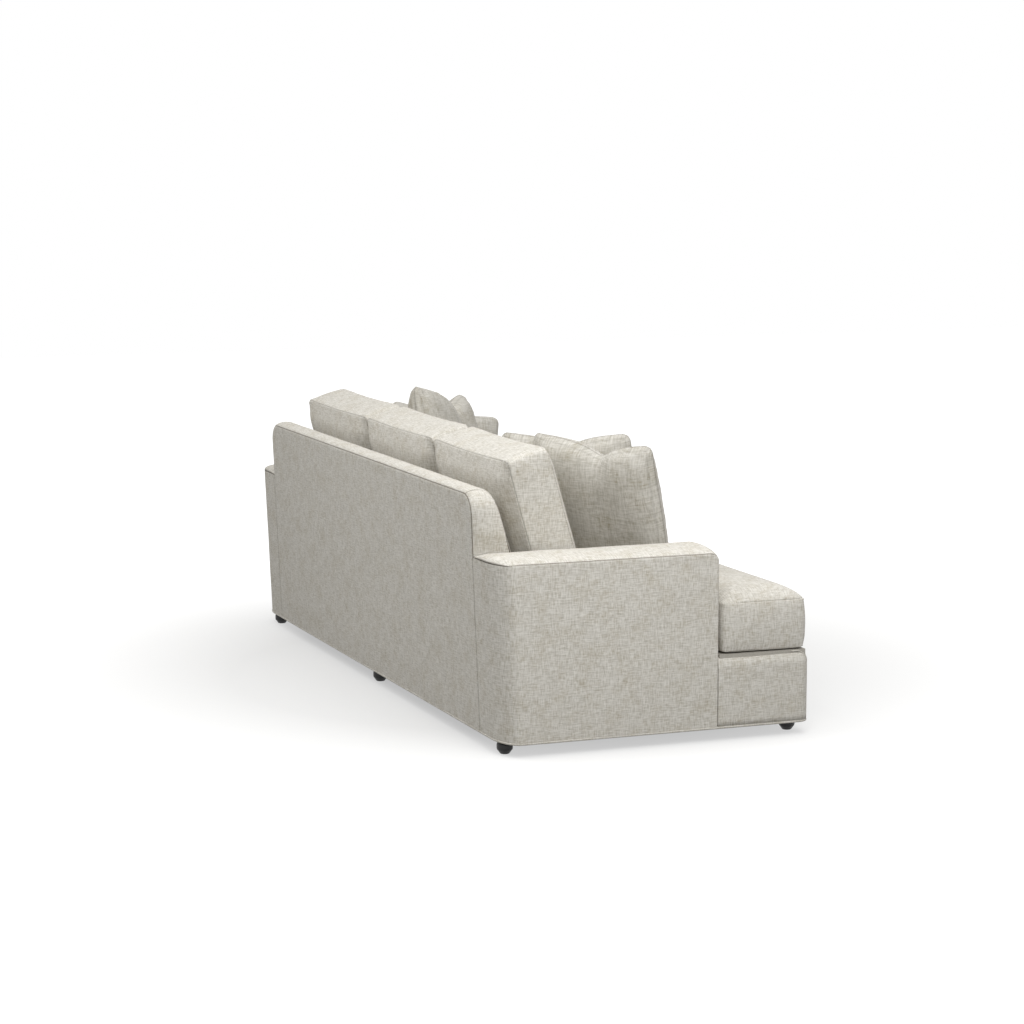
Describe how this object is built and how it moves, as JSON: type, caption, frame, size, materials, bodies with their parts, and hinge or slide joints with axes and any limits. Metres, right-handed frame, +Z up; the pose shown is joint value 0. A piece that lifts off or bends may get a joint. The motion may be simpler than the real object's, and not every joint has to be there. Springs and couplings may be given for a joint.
{
  "type": "sectional sofa",
  "caption": "Long upholstered sofa with low box arms, a short chaise end, loose boxed seat and back cushions and knife-edged throw pillows on low turned feet",
  "frame": {"origin": "under the middle of the whole sofa, on the floor", "axes": "+X along the length towards the far arm, front faces -Y, +Z up"},
  "size_m": [2.684, 1.1038, 0.9979],
  "materials": {
    "upholstery": "heathered woven",
    "pillow_fabric": "heathered woven",
    "timber": "planed, unfinished",
    "spring_steel": "drawn wire",
    "dust_cloth": "bonded black cloth",
    "foot_plastic": "moulded, fine texture"
  },
  "bodies": {
    "frame": {"arm_boxing_far": "upholstery", "arm_boxing_near": "upholstery", "arm_frame_far": "timber", "arm_frame_near": "timber", "arm_inner_cover_far": "upholstery", "arm_inner_cover_near": "upholstery", "arm_outer_cover_far": "upholstery", "arm_outer_cover_near": "upholstery", "back_boxing": "upholstery", "back_inside_cover": "upholstery", "back_outside_cover": "upholstery", "back_post_chaise": "timber", "back_post_far": "timber", "back_post_middle": "timber", "back_post_near": "timber", "back_top_rail": "timber", "base_front_chaise": "upholstery", "base_front_seats": "upholstery", "base_side_far": "upholstery", "base_side_near": "upholstery", "base_side_step": "upholstery", "bottom_hem": "upholstery", "corner_block_chaise_inner": "timber", "corner_block_chaise_outer": "timber", "corner_block_seat_rear": "timber", "corner_block_step": "timber", "corner_block_stretcher": "timber", "dust_cloth": "dust_cloth", "foot_chaise_inner": "foot_plastic", "foot_chaise_outer": "foot_plastic", "foot_rear_far": "foot_plastic", "foot_rear_middle": "foot_plastic", "foot_rear_near": "foot_plastic", "foot_seat_far": "foot_plastic", "foot_seat_middle": "foot_plastic", "rail_chaise_inner": "timber", "rail_end_far": "timber", "rail_end_near": "timber", "rail_front_chaise": "timber", "rail_front_seats": "timber", "rail_rear": "timber", "rail_seat_rear": "timber", "seat_deck": "dust_cloth", "springs_chaise": "spring_steel", "springs_far": "spring_steel", "springs_middle": "spring_steel", "stretcher_seats": "timber"},
    "chaise_seat": {"seat_cushion_chaise": "upholstery"},
    "middle_seat": {"seat_cushion_middle": "upholstery"},
    "far_seat": {"seat_cushion_far": "upholstery"},
    "near_back": {"back_cushion_near": "upholstery"},
    "middle_back": {"back_cushion_middle": "upholstery"},
    "far_back": {"back_cushion_far": "upholstery"},
    "near_back_pillow": {"pillow_near_back": "pillow_fabric"},
    "near_front_pillow": {"pillow_near_front": "pillow_fabric"},
    "far_back_pillow": {"pillow_far_back": "pillow_fabric"},
    "far_front_pillow": {"pillow_far_front": "pillow_fabric"}
  },
  "joints": [
    {"name": "chaise_seat_lift", "type": "slide", "parent": "frame", "child": "chaise_seat", "axis": [0, 0, 1], "range_m": [0, 0.25]},
    {"name": "middle_seat_lift", "type": "slide", "parent": "frame", "child": "middle_seat", "axis": [0, 0, 1], "range_m": [0, 0.25]},
    {"name": "far_seat_lift", "type": "slide", "parent": "frame", "child": "far_seat", "axis": [0, 0, 1], "range_m": [0, 0.25]},
    {"name": "near_back_lift", "type": "slide", "parent": "chaise_seat", "child": "near_back", "axis": [0, 0, 1], "range_m": [0, 0.25]},
    {"name": "middle_back_lift", "type": "slide", "parent": "middle_seat", "child": "middle_back", "axis": [0, 0, 1], "range_m": [0, 0.25]},
    {"name": "far_back_lift", "type": "slide", "parent": "far_seat", "child": "far_back", "axis": [0, 0, 1], "range_m": [0, 0.25]},
    {"name": "near_back_pillow_lift", "type": "slide", "parent": "near_back", "child": "near_back_pillow", "axis": [0, 0, 1], "range_m": [0, 0.25]},
    {"name": "near_front_pillow_lift", "type": "slide", "parent": "near_back_pillow", "child": "near_front_pillow", "axis": [0, 0, 1], "range_m": [0, 0.25]},
    {"name": "far_back_pillow_lift", "type": "slide", "parent": "far_back", "child": "far_back_pillow", "axis": [0, 0, 1], "range_m": [0, 0.25]},
    {"name": "far_front_pillow_lift", "type": "slide", "parent": "far_back_pillow", "child": "far_front_pillow", "axis": [0, 0, 1], "range_m": [0, 0.25]}
  ]
}
